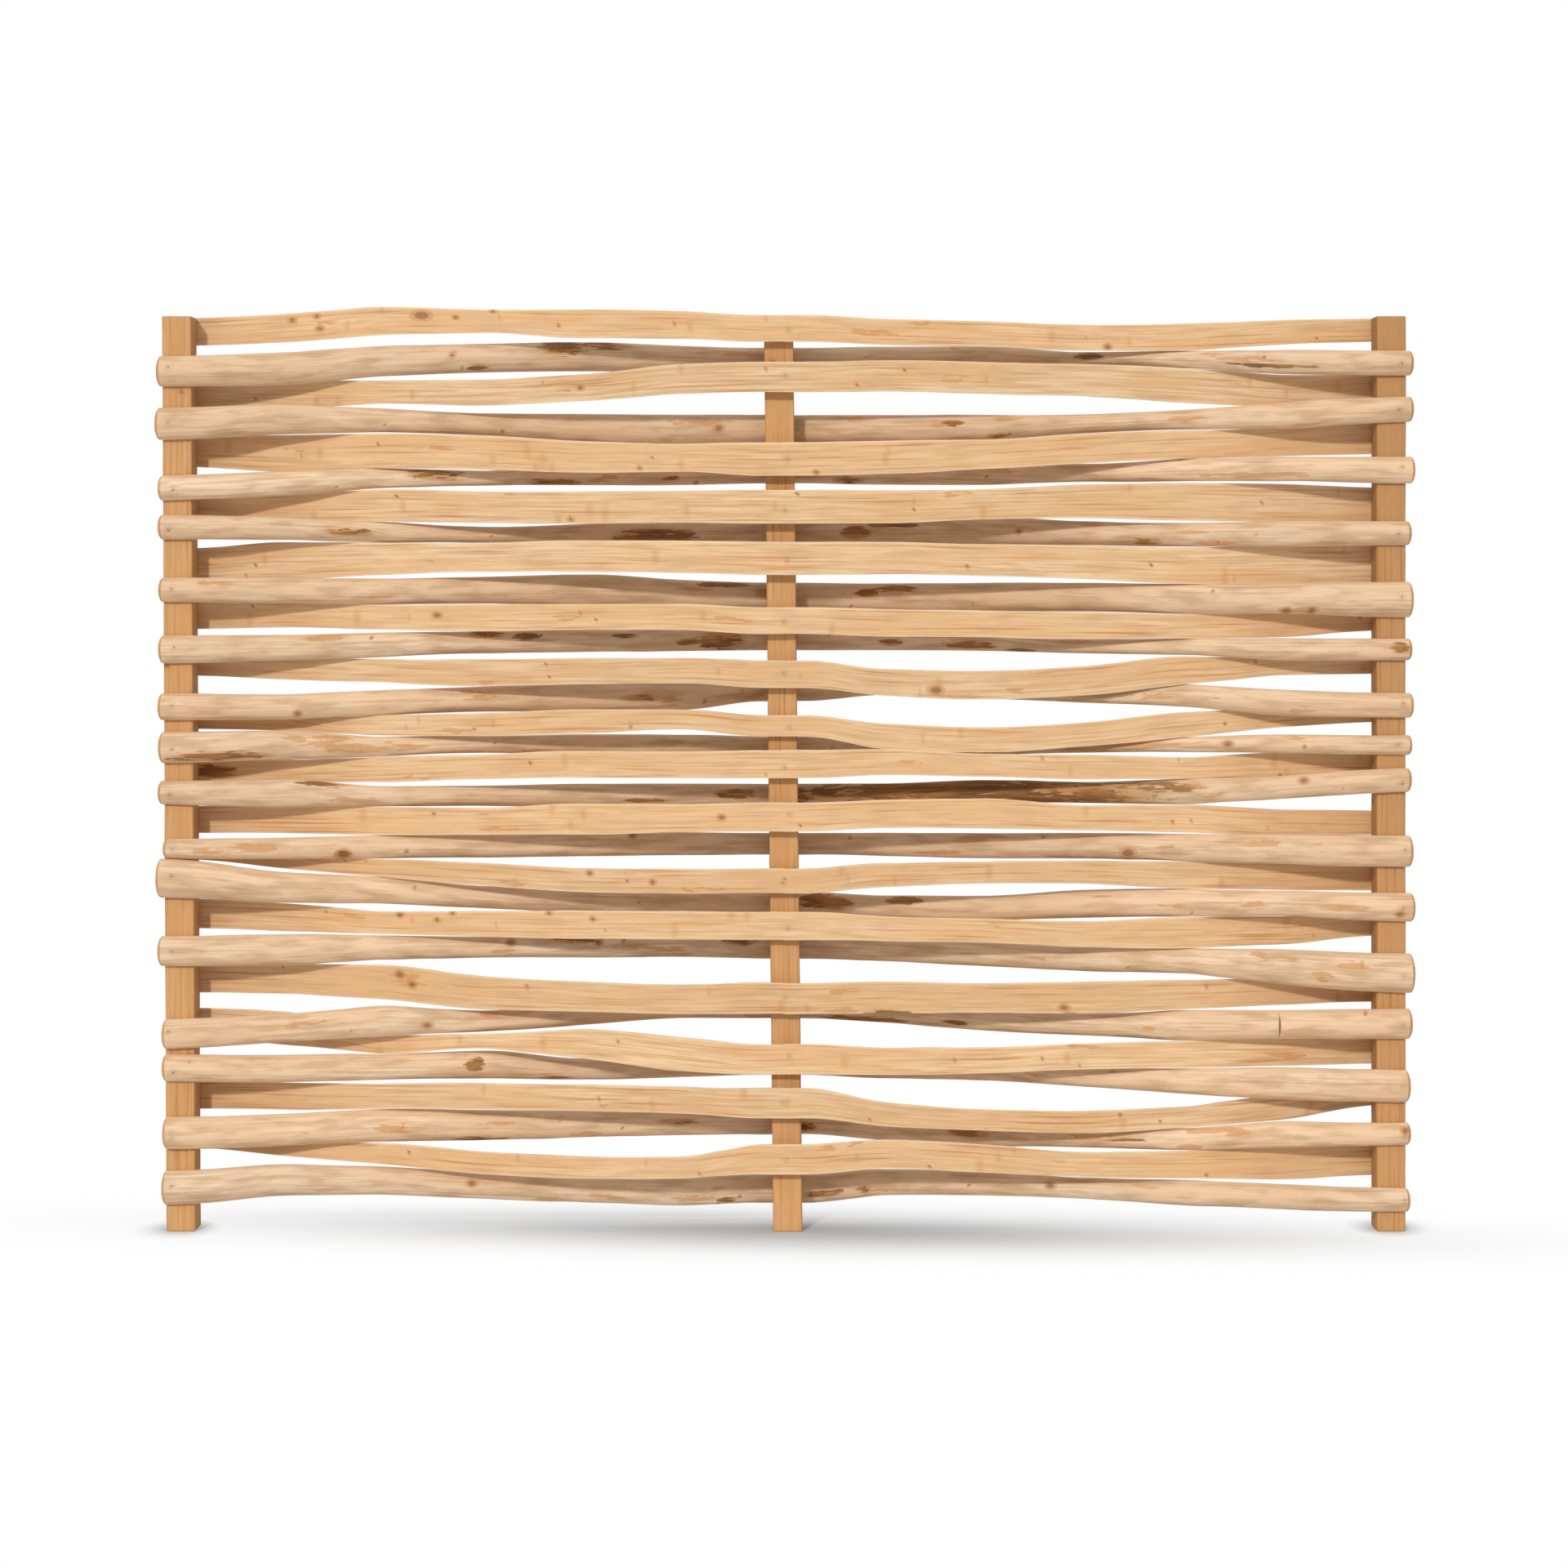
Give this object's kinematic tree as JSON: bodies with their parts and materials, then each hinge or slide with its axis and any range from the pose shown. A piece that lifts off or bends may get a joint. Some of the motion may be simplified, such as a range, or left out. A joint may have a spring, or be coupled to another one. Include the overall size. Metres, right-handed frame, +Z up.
{
  "type": "woven chestnut privacy screen panel",
  "caption": "Free-standing woven screen: half-round cleft chestnut rails pass alternately in front of and behind sawn upright posts and are nailed to them.",
  "frame": {"origin": "on the ground in the foot of the centre post, midway between the rails' seats on the outer posts", "axes": "+X along the rails to the right, -Y out of the front, +Z up the posts"},
  "size_m": [1.81, 0.0916, 1.3323],
  "materials": {
    "post_wood": "rough sawn",
    "rail_wood": "cleft and peeled, untreated"
  },
  "bodies": {
    "root": {"left_post": "post_wood", "centre_post": "post_wood", "right_post": "post_wood", "rear_rail_01": "rail_wood", "rear_rail_02": "rail_wood", "rear_rail_03": "rail_wood", "rear_rail_04": "rail_wood", "rear_rail_05": "rail_wood", "rear_rail_06": "rail_wood", "rear_rail_07": "rail_wood", "rear_rail_08": "rail_wood", "rear_rail_09": "rail_wood", "rear_rail_10": "rail_wood", "rear_rail_11": "rail_wood", "rear_rail_12": "rail_wood", "rear_rail_13": "rail_wood", "rear_rail_14": "rail_wood", "rear_rail_15": "rail_wood", "rear_rail_16": "rail_wood", "front_rail_01": "rail_wood", "front_rail_02": "rail_wood", "front_rail_03": "rail_wood", "front_rail_04": "rail_wood", "front_rail_05": "rail_wood", "front_rail_06": "rail_wood", "front_rail_07": "rail_wood", "front_rail_08": "rail_wood", "front_rail_09": "rail_wood", "front_rail_10": "rail_wood", "front_rail_11": "rail_wood", "front_rail_12": "rail_wood", "front_rail_13": "rail_wood", "front_rail_14": "rail_wood", "front_rail_15": "rail_wood", "front_rail_16": "rail_wood"}
  },
  "joints": []
}
